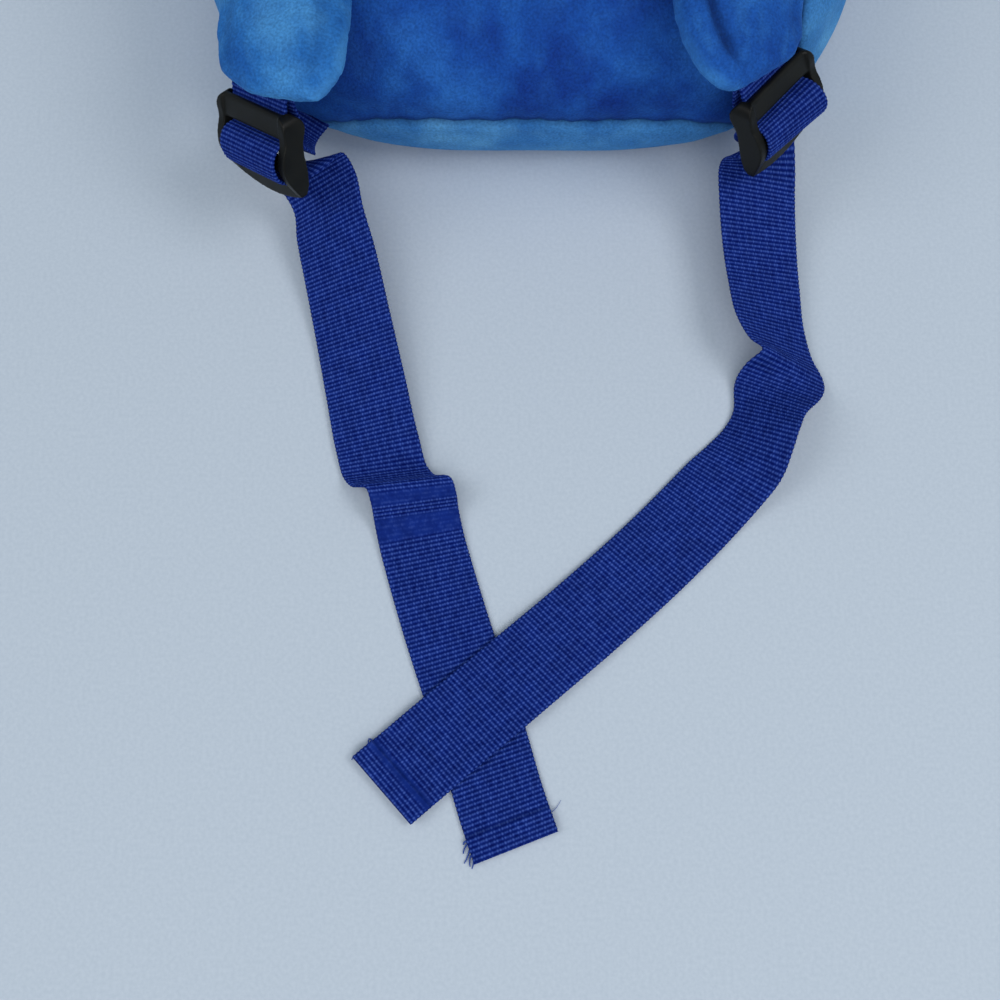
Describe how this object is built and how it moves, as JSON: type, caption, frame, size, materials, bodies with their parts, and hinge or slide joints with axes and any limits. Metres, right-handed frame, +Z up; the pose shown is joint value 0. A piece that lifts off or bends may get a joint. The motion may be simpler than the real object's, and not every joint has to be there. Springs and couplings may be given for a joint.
{
  "type": "plush backpack",
  "caption": "Small soft plush backpack lying on its front, with padded shoulder straps, ladder-lock buckles and loose hemmed webbing tails.",
  "frame": {"origin": "middle of the front panel's flat resting face, on the floor", "axes": "+Z up out of the back panel, +Y towards the top of the bag, +X to the right as the back panel is looked at"},
  "size_m": [0.2128, 0.4764, 0.0916],
  "materials": {
    "dark_plush": "short dense velour pile, dark blue",
    "light_plush": "short dense velour pile, light blue",
    "zip_tape": "woven tape with a nylon coil, dark blue",
    "webbing": "ribbed polypropylene weave, dark blue",
    "black_plastic": "moulded black plastic, satin"
  },
  "bodies": {
    "root": {"back_panel": "dark_plush", "front_panel": "light_plush", "zip": "zip_tape", "shoulder_strap_left": "light_plush", "strap_loop_left": "webbing", "buckle_left": "black_plastic", "webbing_left": "webbing", "shoulder_strap_right": "light_plush", "strap_loop_right": "webbing", "buckle_right": "black_plastic", "webbing_right": "webbing"}
  },
  "joints": []
}
